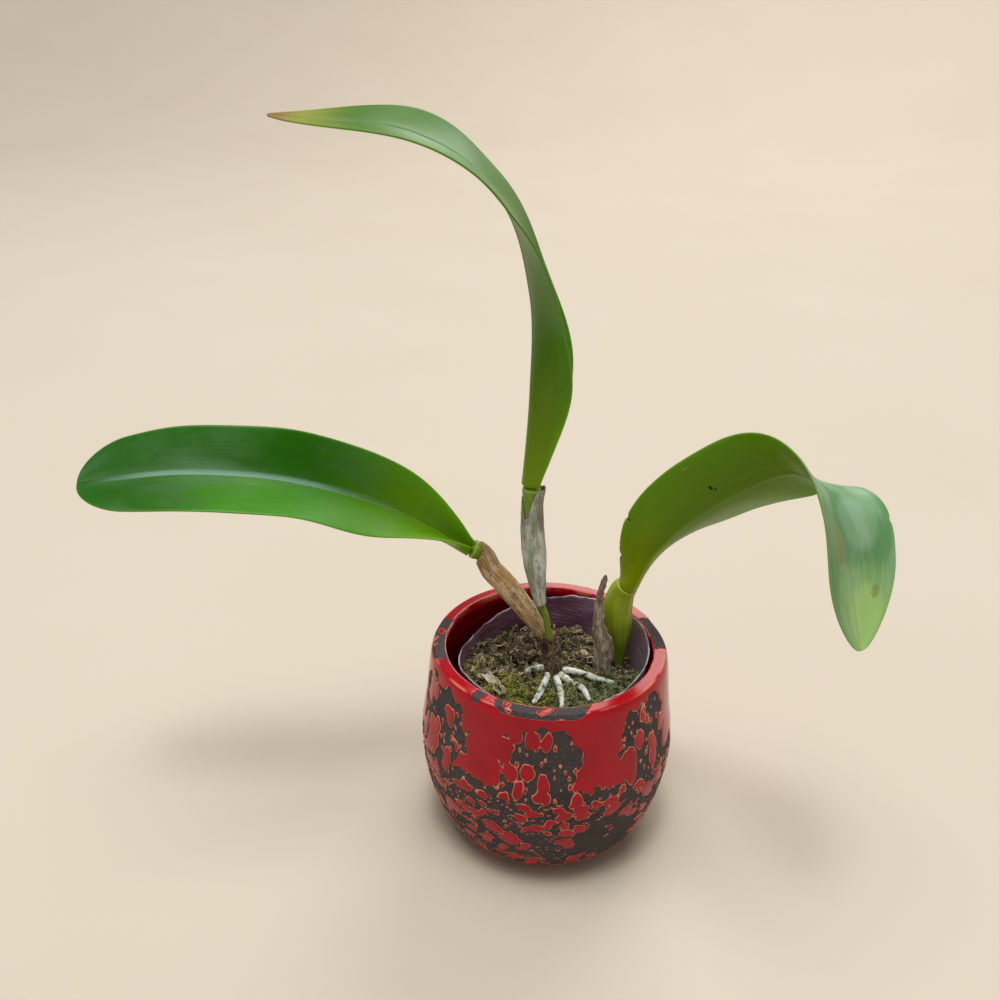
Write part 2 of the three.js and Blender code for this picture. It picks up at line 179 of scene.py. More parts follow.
def add_light(name, place, size, power, colour):
    """A square soft light that looks at the plant."""
    light = bpy.data.lights.new(name, "AREA")
    light.shape = "SQUARE"
    light.size = size
    light.energy = power
    light.color = colour
    holder = placed(name, light)
    holder.location = place
    aim = Vector((0, 0, 0.15)) - Vector(place)
    holder.rotation_euler = aim.to_track_quat("-Z", "Y").to_euler()


add_light("overhead", (-0.3, -0.2, 4.0), 2.6, 118, (1, 1, 0.98))
add_light("window", (-0.2, -0.69, 4.0), 0.7, 34, (0.9, 0.97, 1))
add_light("behind", (1.2, 3.4, 2.8), 2.6, 90, (1, 0.99, 0.95))

world = bpy.data.worlds.new("room_light")
bpy.context.scene.world = world
world.use_nodes = True
world.node_tree.nodes["Background"].inputs["Color"].default_value = (0.62, 0.59, 0.55, 1)
world.node_tree.nodes["Background"].inputs["Strength"].default_value = 0.48


# Node building, for materials and for Geometry Nodes alike

class Wire:
    """A node's output that sums and products can be written on."""

    def __init__(self, graph, socket):
        self.graph = graph
        self.socket = socket

    def math(self, operation, *others):
        sockets = {i: value for i, value in enumerate((self, *others))}
        return self.graph.add("ShaderNodeMath", {"operation": operation}, sockets)

    def __add__(self, other):
        return self.math("ADD", other)

    def __radd__(self, other):
        return self.math("ADD", other)

    def __sub__(self, other):
        return self.math("SUBTRACT", other)

    def __rsub__(self, other):
        return self.graph.add("ShaderNodeMath", {"operation": "SUBTRACT"}, {0: other, 1: self})

    def __mul__(self, other):
        return self.math("MULTIPLY", other)

    def __truediv__(self, other):
        return self.math("DIVIDE", other)

    def __abs__(self):
        return self.math("ABSOLUTE")

    def least(self, other):
        return self.math("MINIMUM", other)

    def most(self, other):
        return self.math("MAXIMUM", other)

    def step(self, low, high):
        """0 below low, 1 above high, smooth between them. The two may be given in either order."""
        settings = {"interpolation_type": "SMOOTHSTEP", "clamp": True}
        falls = low > high
        ends = (high, low, 1, 0) if falls else (low, high, 0, 1)
        return self.graph.add("ShaderNodeMapRange", settings, dict(zip(range(5), (self, *ends))))


class Graph:
    """A node tree that is written as expressions."""

    def __init__(self, tree):
        self.tree = tree

    def add(self, kind, settings=None, sockets=None, out=0):
        """Adds a node: its settings first, then the values or wires of its sockets."""
        node = self.tree.nodes.new(kind)
        for name, value in (settings or {}).items():
            setattr(node, name, value)
        for name, value in (sockets or {}).items():
            if isinstance(value, Wire):
                self.tree.links.new(value.socket, node.inputs[name])
            else:
                node.inputs[name].default_value = value
        return Wire(self, node.outputs[out])

    def noise(self, place, scale, detail=2.0, roughness=0.5, distortion=0.0):
        sockets = {"Vector": place, "Scale": scale, "Detail": detail, "Roughness": roughness,
                   "Distortion": distortion}
        return self.add("ShaderNodeTexNoise", None, sockets)

    def mix(self, share, first, second):
        """A colour between two, at a share of the second: wires, or colours as seen on a screen."""
        first, second = (tone if isinstance(tone, Wire) else paint(*tone) for tone in (first, second))
        return self.add("ShaderNodeMix", {"data_type": "RGBA"}, {0: share, 6: first, 7: second}, 2)

    def layered(self, colour, *layers):
        """A colour with others laid over it in turn, each as its share and its tone."""
        for share, tone in layers:
            colour = self.mix(share, colour, tone)
        return colour

    def parts(self, vector):
        """The x, y and z of a vector."""
        split = self.add("ShaderNodeSeparateXYZ", None, {0: vector}).socket.node
        return [Wire(self, socket) for socket in split.outputs]

    def vector(self, operation, first, second):
        return self.add("ShaderNodeVectorMath", {"operation": operation}, {0: first, 1: second})

    def scaled(self, vector, by):
        return self.vector("MULTIPLY", vector, by)

    def joined(self, x, y, z):
        return self.add("ShaderNodeCombineXYZ", None, {0: x, 1: y, 2: z})

    def mark(self, name, vector=False):
        """A number or a vector that the piece's mesh carries at each point."""
        out = "Vector" if vector else "Fac"
        return self.add("ShaderNodeAttribute", {"attribute_name": name}, None, out)

    def place(self):
        return self.add("ShaderNodeTexCoord", None, None, "Object")


def paint(red, green, blue):
    """A colour as it is seen on a screen, from 0 to 255, as the shader's linear colour."""
    def linear(value):
        share = value / 255
        return share / 12.92 if share <= 0.04045 else ((share + 0.055) / 1.055) ** 2.4
    return (linear(red), linear(green), linear(blue), 1)


def material(name, colour_and_more, **constants):
    """A material whose build function gives what varies over the surface, and whose constants are set
    on the shader's own sockets."""
    made = bpy.data.materials.new(name)
    made.use_nodes = True
    shader = made.node_tree.nodes["Principled BSDF"]
    for socket, value in constants.items():
        shader.inputs[socket.replace("_", " ")].default_value = value
    graph = Graph(made.node_tree)
    for socket, wire in colour_and_more(graph).items():
        if isinstance(wire, Wire):
            made.node_tree.links.new(wire.socket, shader.inputs[socket])
        else:
            shader.inputs[socket].default_value = wire
    return made


def bump(graph, height, depth):
    return graph.add("ShaderNodeBump", None, {"Height": height, "Distance": depth * MM})


# Curves and skins

def smooth(values, t, held=False):
    """A smooth curve through evenly spaced numbers or points, at t from 0 to 1. A held curve slows
    at its ends."""
    values = np.asarray(values, float)
    place = np.clip(t, 0, 1) * (len(values) - 1)
    i = np.minimum(np.asarray(place).astype(int), len(values) - 2)
    u = place - i
    if values.ndim > 1:
        u = np.asarray(u)[..., None]
    before, after = 2 * values[:1] - values[1:2], 2 * values[-1:] - values[-2:-1]
    if held:
        before, after = values[:1], values[-1:]
    padded = np.concatenate([before, values, after])
    p0, p1, p2, p3 = (padded[i + k] for k in range(4))
    square = 2 * p0 - 5 * p1 + 4 * p2 - p3
    cube = 3 * p1 - p0 - 3 * p2 + p3
    return 0.5 * (2 * p1 + (p2 - p0) * u + square * u ** 2 + cube * u ** 3)


def unit(vectors):
    return vectors / np.linalg.norm(vectors, axis=-1, keepdims=True)


def heading(path, t):
    step = 0.002
    return unit(smooth(path, np.minimum(t + step, 1)) - smooth(path, np.maximum(t - step, 0)))


def square_to(vectors, along):
    """The part of each vector that stands square to its heading, as a unit vector."""
    return unit(vectors - along * np.sum(vectors * along, axis=-1, keepdims=True))


def soft_step(values, low, high):
    share = np.clip((values - low) / (high - low), 0, 1)
    return share * share * (3 - 2 * share)


def lumps(points, size, seed=0):
    """Smooth random heights from about -1 to 1 over points, in lumps of about that size."""
    flat = np.asarray(points, float).reshape(-1, 3) / size + 17.3 * seed
    values = [noise.noise(Vector(point)) for point in flat]
    return np.array(values).reshape(np.shape(points)[:-1])


def skin(name, rings, marks=None):
    """A closed skin over rings of points, with the marks that its material reads at each point."""
    rows, count = rings.shape[:2]
    middles = rings[[0, -1]].mean(axis=1)
    points = np.concatenate([rings.reshape(-1, 3), middles])
    index = np.arange(rows * count).reshape(rows, count)
    after = np.roll(index, -1, axis=1)
    quads = np.stack([index[:-1], after[:-1], after[1:], index[1:]], axis=-1).reshape(-1, 4)
    first = np.full(count, rows * count)
    fans = [np.stack([first, after[0], index[0]], axis=-1)]
    fans.append(np.stack([first + 1, index[-1], after[-1]], axis=-1))
    fans = np.concatenate(fans)
    mesh = bpy.data.meshes.new(name)
    mesh.from_pydata((points * MM).tolist(), [], quads.tolist() + fans.tolist())
    for mark, values in (marks or {}).items():
        values = np.asarray(values, float)
        is_vector = values.ndim == 3
        flat = values.reshape(rows * count, -1)
        caps = np.stack([flat[:count].mean(axis=0), flat[-count:].mean(axis=0)])
        kind, field = ("FLOAT_VECTOR", "vector") if is_vector else ("FLOAT", "value")
        layer = mesh.attributes.new(mark, kind, "POINT")
        layer.data.foreach_set(field, np.concatenate([flat, caps]).ravel())
    mesh.shade_smooth()
    return placed(name, mesh)


def hand_over(piece, slot, finish, *nodes):
    """Gives a piece its finish, hangs it under the root body and hides the parts it stands in for."""
    if finish:
        piece.data.materials.clear()
        piece.data.materials.append(finish)
    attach(piece, "root")
    if nodes:
        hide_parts(*nodes)


def stalk_rings(path, radii, stations, sides, upright, shape):
    """Rings of a round body along a path. shape gives extra radius from its shares and angles."""
    t = np.linspace(0, 1, stations + 1)
    along = heading(path, t)
    across = unit(np.cross(BACK if upright else UP, along))
    back = np.cross(along, across)
    angle = np.linspace(0, 2 * np.pi, sides, endpoint=False)
    share, turn = np.meshgrid(t, angle, indexing="ij")
    radius = smooth(radii, share)
    radius = radius + shape(share, turn, radius)
    spoke = across[:, None] * np.cos(turn)[..., None] + back[:, None] * np.sin(turn)[..., None]
    rings = smooth(path, t)[:, None] + spoke * radius[..., None]
    return rings, {"along": share, "turn": turn / (2 * np.pi)}


def blade_rings(shape, tip, middle, edge, stations, strips, wave=0.0, keel_line=0.0,
                valley=LEAF_VALLEY, neck=0.0, nicks=()):
    """Rings of a folded blade: thick at the keel, thinner at its margins, with a rounded tip. Its
    foot is fuller by neck. Each nick bites into a margin: its share along, side, depth, length."""
    t = 0.9999 * (1 - (1 - np.linspace(0, 1, stations + 1)) ** 1.5)
    along = heading(shape["keel"], t)
    face = square_to(smooth(shape["facing"], t), along)
    side = np.cross(along, face)
    past_tip = np.clip((t - (1 - tip)) / tip, 0, 1)
    rounding = np.sqrt(1 - past_tip ** 2)
    half_width = smooth(shape["half_width"], t) * rounding
    fold = np.radians(smooth(shape["fold"], t))
    thin = 0.3 + 0.7 * np.sqrt(rounding)
    # The round margins reach as far as the flat ones of the plain solid
    inset = np.minimum(edge * thin / 2, half_width / 3)
    run = ((half_width - inset) * np.cos(fold))[:, None]
    rise = (half_width * np.sin(fold))[:, None]
    u = np.linspace(-1, 1, strips + 1)[None]
    whole = math.hypot(1, valley) - valley
    height = (np.hypot(u, valley) - valley) / whole
    slope = rise * u / (np.hypot(u, valley) * whole)
    tilt = np.hypot(run, slope)
    foot = neck * np.exp(-(t / NECK_LENGTH) ** 2)[:, None] * (1 - u ** 2)
    thickness = edge + (smooth(middle, t)[:, None] - edge) * (1 - np.abs(u)) + foot
    thickness = thickness * thin[:, None]
    ripple = wave * np.sin(23 * t[:, None] + 2.4 * u) * u ** 2 * np.sin(np.pi * t[:, None])
    groove = keel_line * np.exp(-(u / 0.05) ** 2) * thin[:, None]
    across, up = run * u, rise * height + ripple + foot * 0.5
    for at, side_of, depth, length in nicks:
        bite = depth * np.exp(-((t[:, None] - at) / length) ** 2) * np.maximum(0, u * side_of) ** 12
        across = across - side_of * bite
    keel = smooth(shape["keel"], t)[:, None]

    def place(x, y):
        return keel + side[:, None] * x[..., None] + face[:, None] * y[..., None]

    lower_x = across + thickness * slope / tilt
    lower_y = up - thickness * run / tilt
    upper = place(across, up - groove)
    lower = place(lower_x, lower_y - 1.4 * groove)
    margins = []
    for end in (-1, 0):
        outward = upper[:, end] - upper[:, -2 if end else 1]
        outward = unit(outward) * inset[:, None]
        bend = [math.sin(math.pi / 4), 1, math.sin(math.pi / 4)]
        shares = [0.25, 0.5, 0.75]
        arc = [upper[:, end] * (1 - s) + lower[:, end] * s + outward * b
               for s, b in zip(shares, bend)]
        margins.append(np.stack(arc, axis=1))
    rings = np.concatenate([upper, margins[0], lower[:, ::-1], margins[1][:, ::-1]], axis=1)
    ones = np.ones_like(across)
    edge_ones = np.ones((len(t), 3))
    marks = {
        "along": np.repeat(t[:, None], rings.shape[1], axis=1),
        "across": np.concatenate([ones * u, edge_ones, (ones * u)[:, ::-1], -edge_ones], axis=1),
        "upper": np.concatenate([ones, edge_ones / 2, 0 * ones, edge_ones / 2], axis=1),
    }
    return rings, marks


def path_to_leaf(path, leaf):
    """A stem's whole path: its last stretch runs straight into the middle of its leaf's foot."""
    along = heading(leaf["keel"], 0)
    face = square_to(np.array(leaf["facing"][0], float), along)
    rise = leaf["half_width"][0] * math.sin(math.radians(leaf["fold"][0]))
    top = np.array(leaf["keel"][0]) + face * (rise - LEAF_MIDDLE[0]) / 2 - along * STEM_GAP
    return path + [(top - along * STEM_REACH).tolist(), top.tolist()]


# Leaves

def spot(g, along, across, place, size, fray=0.0):
    """1 inside an oval spot on a leaf, from its shares along and across and its half sizes."""
    off_along = (along - place[0]) / size[0]
    off_across = (across - place[1]) / size[1]
    return (off_along * off_along + off_across * off_across + fray).step(1.3, 0.5)


def leaf_finish(name, foot, blade, tip, under, tip_from, haze, rib=0.0, dry_from=2.0, spots=()):
    """A waxy leaf: foot, blade and tip colours on its upper face, one below, fine parallel veins,
    a pale margin, hazy bloom, small flecks and its own spots. rib is how strong its painted light
    is: a painted highlight along its midrib, and painted light that makes its near half lighter.
    Past dry_from it has dried brown."""
    def build(g):
        along, across, upper = g.mark("along"), g.mark("across"), g.mark("upper")
        cloud = g.noise(g.joined(across * 2.2, along * 7, upper * 3), 1.0, 4, 0.55)
        fine = g.noise(g.joined(across * 46, along * 5, upper), 1.0, 3, 0.6)
        # The near half is painted lighter: painted light, as if it were lit more than the far half.
        near_half = across.step(0.02, -0.12) * (along + cloud * 0.3).step(1.0, 0.7)
        broad = g.mix(near_half * rib, blade, (64, 134, 0))
        broad = g.mix(upper.step(0.6, 0.4), broad, under)
        midrib = abs(across).step(0.04, 0.012)
        # A pale line along the midrib: a painted highlight where the groove would catch the light.
        midrib_highlight = abs(across - 0.02).step(0.1, 0.0) * (along + cloud * 0.2).step(0.3, 0.6)
        midrib_highlight = midrib_highlight * along.step(1.0, 0.8) * upper * rib
        flecks = g.noise(g.joined(across * 30, along * 130, 4), 1.0, 1).step(0.75, 0.77)
        colour = g.layered(
            foot,
            ((along + (cloud - 0.5) * 0.15).step(0.0, 0.3 + rib * 0.2), broad),
            ((along + (cloud - 0.5) * 0.2).step(tip_from, 1.0) * upper, tip),
            (fine.step(0.35, 0.7) * 0.16, (20, 50, 4)),
            (midrib * along.step(0.5, 0.0) * 0.4, (150, 175, 70)),
            (cloud.step(0.42, 0.62) * upper * haze, (150, 178, 150)),
            (midrib_highlight * 0.7, (150, 190, 172)),
            (abs(across).step(0.97, 0.998) * 0.1, (170, 185, 90)),
            (flecks * 0.5, (60, 45, 20)))
        for place, size, is_upper, strength, tone in spots:
            side = upper.step(0.4, 0.6) if is_upper else upper.step(0.6, 0.4)
            oval = spot(g, along, across, place, size, (fine + cloud - 1) * 1.2)
            colour = g.mix(oval * side * strength, colour, tone)
        dry = (along + (cloud - 0.5) * 0.05).step(dry_from, dry_from + 0.05)
        yellow = (along + (cloud - 0.5) * 0.05).step(dry_from - 0.07, dry_from + 0.02)
        colour = g.mix(yellow * 0.7, colour, (150, 150, 60))
        colour = g.mix(dry, colour, (128, 94, 54))
        veins = fine * 0.5 + midrib * upper * -1.0 + cloud * 0.4
        return {
            "Base Color": colour,
            "Roughness": 0.3 + cloud * 0.12 + dry * 0.3,
            "Normal": bump(g, veins, 0.14),
        }
    return material(name, build, Subsurface_Weight=0.3, Subsurface_Radius=(0.5, 1, 0.08),
                    Subsurface_Scale=0.005, Specular_IOR_Level=0.17)


# Each spot: place along and across, half sizes, whether on the upper face, strength and colour
RIGHT_LEAF_SPOTS = [
    ((0.399, 0.32), (0.0045, 0.045), False, 1, (24, 20, 12)),
    ((0.406, 0.25), (0.003, 0.025), False, 1, (24, 20, 12)),
    ((0.196, 0.95), (0.004, 0.05), False, 0.9, (70, 50, 20)),
    ((0.07, 0.96), (0.006, 0.08), False, 0.8, (70, 50, 20)),
    ((0.377, 0.86), (0.009, 0.02), False, 0.6, (138, 158, 50)),
    ((0.84, 0.4), (0.045, 0.26), True, 0.5, (150, 140, 90)),
    ((0.965, -0.2), (0.09, 1.1), True, 0.35, (168, 196, 130)),
    ((0.96, -0.25), (0.055, 0.65), True, 0.5, (176, 204, 126)),
    ((0.918, -0.57), (0.01, 0.1), True, 0.5, (112, 110, 76)),
    ((0.8, -0.35), (0.06, 0.4), True, 0.25, (166, 190, 166)),
    ((0.9, 0.3), (0.03, 0.3), True, 0.4, (150, 188, 140)),
]
leaf_finishes = {
    "leaf_left": leaf_finish(
        "leaf_left_green", (112, 160, 0), (34, 92, 0), (34, 90, 16),
        (84, 122, 12), 0.8, 0.05, 0.9),
    "leaf_centre": leaf_finish(
        "leaf_centre_green", (116, 152, 2), (60, 112, 2), (70, 108, 14),
        (74, 118, 2), 0.7, 0.04, 0.25, dry_from=0.945),
    "leaf_right": leaf_finish(
        "leaf_right_green", (140, 164, 2), (96, 138, 92), (114, 154, 98),
        (92, 128, 0), 0.84, 0.4, spots=RIGHT_LEAF_SPOTS),
}
for node, shape, neck, squeeze, nicks in (
    ("leaf_left", LEAF_LEFT, 2.4, 0.2, []),
    ("leaf_centre", LEAF_CENTRE, 2.6, 0.14, []),
    ("leaf_right", LEAF_RIGHT, 2.4, 0.14,
     [(0.816, -1, 1.1, 0.006), (0.196, 1, 0.8, 0.006), (0.075, 1, 0.9, 0.008)]),
):
    rings, marks = blade_rings(shape, LEAF_TIP, LEAF_MIDDLE, LEAF_EDGE, LEAF_STATIONS, LEAF_STRIPS,
                               LEAF_WAVE, LEAF_GROOVE, LEAF_SOFT_VALLEY, neck, nicks)
    # The foot narrows into the neck of its stem
    middle = rings.mean(axis=1, keepdims=True)
    narrow = 1 - squeeze * np.exp(-(marks["along"] / NECK_LENGTH) ** 2)
    rings = middle + (rings - middle) * narrow[..., None]
    hand_over(skin(node + "_blade", rings, marks), "leaf_green", leaf_finishes[node], node)


# Stems

def stem_finish(name, foot, body, top, ring_at):
    """A living stem: green with fine ridges, paler at the joint under its leaf."""
    def build(g):
        along, turn = g.mark("along"), g.mark("turn")
        ridge = g.noise(g.joined(turn * 30, along * 3, 0), 1.0, 3, 0.6)
        cloud = g.noise(g.place(), 160, 3)
        colour = g.mix(along.step(0.1, 0.55), foot, body)
        colour = g.mix(along.step(0.6, 0.98), colour, top)
        colour = g.mix(ridge.step(0.4, 0.7) * 0.2, colour, (92, 118, 10))
        colour = g.mix(cloud.step(0.5, 0.75) * 0.3, colour, (186, 194, 70))
        joint = abs(along - ring_at).step(0.014, 0.003)
        colour = g.mix(joint * 0.35, colour, (206, 208, 130))
        return {"Base Color": colour, "Roughness": 0.4 + cloud * 0.2,
                "Normal": bump(g, ridge + joint * 0.4, 0.25)}
    return material(name, build, Subsurface_Weight=0.15, Subsurface_Radius=(0.6, 1, 0.15),
                    Subsurface_Scale=0.003)


left_path = path_to_leaf(STEM_LEFT, LEAF_LEFT)
centre_path = path_to_leaf(STEM_CENTRE, LEAF_CENTRE)
right_path = path_to_leaf(STEM_RIGHT, LEAF_RIGHT)

green_stem = stem_finish("stem_green", (120, 140, 30), (106, 142, 18), (106, 146, 8), 0.965)
bulb_green = stem_finish("bulb_green", (120, 154, 20), (146, 172, 24), (152, 174, 22), 0.985)


def bulb_ribs(share, turn, radius):
    furrow = 0.045 * np.cos(7 * turn) + 0.02 * np.cos(17 * turn + 5 * share)
    return radius * furrow * (1 - share ** 6) + 1.1 * np.exp(-((share - 1) / 0.12) ** 2)


def stem_ridges(share, turn, radius):
    """Fine ridges, and a round shoulder that the leaf's foot stands in."""
    shoulder = 0.8 * np.exp(-((share - 0.95) / 0.06) ** 2) - radius * 0.5 * soft_step(share, 0.965, 1.0)
    return radius * 0.025 * np.cos(9 * turn + 2 * share) + shoulder


for node, path, radii, ribs, finish in (
    ("pseudobulb_left", left_path, STEM_LEFT_RADII, stem_ridges, green_stem),
    ("pseudobulb_centre", centre_path, STEM_CENTRE_RADII, stem_ridges, green_stem),
    ("pseudobulb_right", right_path, STEM_RIGHT_RADII, bulb_ribs, bulb_green),
):
    rings, marks = stalk_rings(path, radii, 90, 84, True, ribs)
    hand_over(skin(node + "_stem", rings, marks), "stem_green", finish, node)


# Papery sheaths

def paper_finish(name, pale, body, dark, spots, fibre=34):
    """Dry papery skin: long fibres, streaks and spots."""
    def build(g):
        along, turn = g.mark("along"), g.mark("turn")
        fibres = g.noise(g.joined(turn * fibre, along * 4, 0), 1.0, 4, 0.65)
        streaks = g.noise(g.joined(turn * fibre / 4, along * 3, 7), 1.0, 3, 0.6)
        cloud = g.noise(g.place(), 240, 3, 0.6)
        blots = g.noise(g.place(), 520, 2)
        wide = g.noise(g.joined(turn * 7, along * 6, 2), 1.0, 4, 0.65)
        colour = g.layered(
            body,
            ((streaks * 0.6 + wide * 0.4).step(0.43, 0.56), pale),
            (fibres.step(0.48, 0.68) * 0.5, dark),
            ((wide + along.step(0.45, 0.9) * 0.14).step(0.52, 0.66) * 0.7, dark),
            (cloud.step(0.6, 0.74) * 0.3, dark),
            (blots.step(0.64, 0.7) * spots, (46, 32, 24)))
        return {"Base Color": colour, "Roughness": 0.7 + cloud * 0.25,
                "Normal": bump(g, fibres + cloud * 0.6, 0.5)}
    return material(name, build, Subsurface_Weight=0.1, Subsurface_Scale=0.002)


def sleeve_rings(path, radii, start, end, slant, notch, notch_angle, flare, seed, sides=120,
                 stations=70):
    """A thin sleeve round a stem: wrinkled, with a slanted, ragged end that may open in a notch."""
    angle = np.linspace(0, 2 * np.pi, sides, endpoint=False)
    opening = notch * np.maximum(0, np.cos(angle - notch_angle)) ** 3
    circle = np.stack([np.cos(angle), np.sin(angle), 0 * angle], axis=-1)
    ragged = 0.018 * lumps(circle, 0.22, seed) + 0.01 * lumps(circle, 0.07, seed + 1)
    end_at = end + slant * np.cos(angle) - opening + ragged
    part, turn = np.meshgrid(np.linspace(0, 1, stations + 1), angle, indexing="ij")
    t = start + (end_at - start) * part
    along = heading(path, t)
    across = unit(np.cross(BACK, along))
    back = np.cross(along, across)
    spoke = across * np.cos(turn)[..., None] + back * np.sin(turn)[..., None]
    axis = smooth(path, t)
    spread = flare * np.maximum(0, np.cos(turn)) ** 2 * part ** 4
    radius = smooth(radii, t) + spread
    wrinkle = 0.35 * lumps(axis * 0.35 + spoke * 5, 2.4, seed) + 0.12 * np.cos(turn * 19 + 3 * part)
    outside = axis + spoke * (radius + 0.95 + wrinkle)[..., None]
    inside = axis + spoke * (radius + 0.25 + wrinkle * 0.6)[..., None]
    rings = np.concatenate([outside, inside[::-1]])
    shares = {"along": t, "turn": turn / (2 * np.pi)}
    return rings, {name: np.concatenate([values, values[::-1]]) for name, values in shares.items()}


brown_paper = paper_finish("brown_paper", (214, 194, 152), (172, 136, 88), (112, 66, 34), 0.7, 22)
silver_paper = paper_finish("silver_paper", (216, 224, 216), (148, 160, 138), (104, 92, 70), 0.4, 18)
grey_paper = paper_finish("grey_paper", (206, 198, 182), (148, 132, 108), (84, 68, 52), 0.4)

for node, path, radii, sleeve, finish in (
    ("sheath_left", left_path, STEM_LEFT_RADII, (0.01, 0.84, 0.07, 0, 0, 0, 3), brown_paper),
    ("sheath_centre", centre_path, STEM_CENTRE_RADII, (0.24, 0.93, 0.05, 0.16, 4.1, 2, 5),
     silver_paper),
):
    rings, marks = sleeve_rings(path, radii, *sleeve)
    hand_over(skin(node + "_paper", rings, marks), "dry_sheath", finish, node)


def crumple(rings, amount, size, seed):
    """Pushes a blade's rings about, both faces alike."""
    centre = rings.mean(axis=1, keepdims=True)
    outward = rings - centre
    return rings + unit(outward + 1e-6) * amount * lumps(rings, size, seed)[..., None]


for node, shape, tip, edge, middle, finish in (
    ("dry_sheath_right", DRY_SHEATH, 0.15, 0.8, [0.9, 0.9], grey_paper),
    ("old_bract", BRACT, 0.3, 0.8, [1, 1], grey_paper),
):
    rings, marks = blade_rings(shape, tip, middle, edge, 60, 28)
    marks["turn"] = marks["across"] / 4 + 0.5
    hand_over(skin(node + "_paper", crumple(rings, 0.8, 2.6, 4), marks), "dry_sheath", finish, node)


# Roots and creeping stem

def root_build(g):
    place = g.place()
    blotch = g.noise(place, 230, 4, 0.65)
    grain = g.noise(place, 900, 2)
    colour = g.mix(blotch.step(0.44, 0.58), (220, 224, 214), (164, 168, 150))
    colour = g.mix(blotch.step(0.57, 0.62), colour, (62, 58, 42))
    colour = g.mix(g.noise(place, 110, 2).step(0.52, 0.72) * 0.5, colour, (150, 164, 116))
    return {"Base Color": colour, "Roughness": 0.75 + grain * 0.2,
            "Normal": bump(g, grain * 0.4 + blotch, 0.35)}


def rhizome_build(g):
    along, turn = g.mark("along"), g.mark("turn")
    fibres = g.noise(g.joined(turn * 26, along * 30, 0), 1.0, 4, 0.65)
    cloud = g.noise(g.place(), 220, 3)
    colour = g.mix(fibres.step(0.4, 0.62), (64, 46, 32), (142, 118, 90))
    colour = g.mix(cloud.step(0.46, 0.62) * 0.85, colour, (44, 32, 25))
    return {"Base Color": colour, "Roughness": 0.8 + cloud * 0.15,
            "Normal": bump(g, fibres + cloud, 0.6)}


root_skin = material("root_skin", root_build)
rhizome_bark = material("rhizome_bark", rhizome_build)


def root_knobs(seed):
    def shape(share, turn, radius):
        spoke = np.stack([np.cos(turn), np.sin(turn), share * 12], axis=-1)
        return 0.22 * lumps(spoke, 0.9, seed) + 0.1 * np.cos(share * 40)
    return shape


for seed, (node, path) in enumerate(ROOTS.items()):
    radii = [ROOT_RADIUS * share for share in ROOT_TAPER]
    rings, marks = stalk_rings(path, radii, 60, 24, False, root_knobs(seed))
    hand_over(skin(node + "_skin", rings, marks), "root_white", root_skin, node)


def rhizome_scales(share, turn, radius):
    spoke = np.stack([np.cos(turn), np.sin(turn), share * 14], axis=-1)
    ring = np.maximum(0, np.sin(share * 46)) ** 2
    return 0.5 * lumps(spoke, 0.7, 9) + 0.25 * ring - 0.3


rings, marks = stalk_rings(RHIZOME, RHIZOME_RADII, 150, 60, True, rhizome_scales)
hand_over(skin("rhizome_bark", rings, marks), "rhizome_brown", rhizome_bark, "rhizome")


# Glazed pot

def pot_outline():
    """Radius and height along the pot's wall from the middle of its base to the middle of its floor,
    with 1 where the skin is inside."""
    flank = smooth(POT_FLANK, np.linspace(0, 1, POT_FLANK_ROWS), held=True)
    inner = flank[(flank[:, 1] > POT_FLOOR + POT_WALL) & (flank[:, 1] < POT_HEIGHT - POT_RIM_DEPTH)]
    inner = inner[::-8] - [POT_WALL, 0]
    rim = [[57.9, 104.75], [57.5, 104.92]] + [[r, POT_HEIGHT] for r in np.linspace(57, 52.8, 9)]
    rim += [[52.4, 104.9], [POT_RIM_INNER, 104.6], [POT_RIM_INNER, 101.5]]
    rim += [[POT_RIM_INNER, POT_HEIGHT - POT_RIM_DEPTH]]
    floor = [[43, POT_FLOOR + 0.6], [41.5, POT_FLOOR], [20, POT_FLOOR], [2, POT_FLOOR]]
    base = [[2, 0], [22, 0], [41, 0]]
    outline = np.concatenate([base, flank, rim, inner, floor])
    is_inside = np.zeros(len(outline))
    is_inside[len(base) + len(flank) + 12:] = 1
    return outline, is_inside


# Bare patches in the glaze: angle from the front, height, half width along the wall and half height
BARE_PATCHES = [
    (-61, 80, 25, 27), (-6, 78, 23, 23), (48, 80, 19, 27),
    (98, 82, 20, 20), (141, 84, 20, 19), (-165, 79, 19, 22), (-114, 83, 18, 18),
]
BARE_RIM = [(-6, 105, 24, 5), (-92, 105, 20, 5), (100, 105, 16, 5), (-38, 105, 3, 4)]
BARE_BELOW = 66
BAREST = (28, 28, 22, 18)


def patch(points, angle, height, half_width, half_height):
    """1 in the middle of a patch on the pot's wall, 0 at its edge."""
    radius = np.hypot(points[..., 0], points[..., 1])
    turn = math.radians(angle)
    away_x = points[..., 0] - radius * math.sin(turn)
    away_y = points[..., 1] + radius * math.cos(turn)
    across = np.hypot(away_x, away_y) / half_width
    return 1 - across ** 2 - ((points[..., 2] - height) / half_height) ** 2


outline, is_inside = pot_outline()
turn = np.linspace(0, 2 * np.pi, POT_SIDES, endpoint=False)
rings = np.stack([
    outline[:, :1] * np.sin(turn)[None],
    -outline[:, :1] * np.cos(turn)[None],
    np.repeat(outline[:, 1:], POT_SIDES, axis=1),
], axis=-1)
ragged = 0.3 * lumps(rings, 8, 1) + 0.1 * lumps(rings, 3, 6)
is_rim = soft_step(rings[..., 2], 101.4, 102.8)
body_patches = np.max([patch(rings, *bare) for bare in BARE_PATCHES], axis=0)
body_patches = np.maximum(body_patches, (BARE_BELOW - rings[..., 2]) / 14)
rim_patches = np.max([patch(rings, *bare) for bare in BARE_RIM], axis=0)
bareness = soft_step(body_patches + ragged, -0.05, 0.25) * (1 - is_rim)
bareness = bareness + 1.14 * soft_step(rim_patches + ragged * 0.6, 0, 0.3) * is_rim
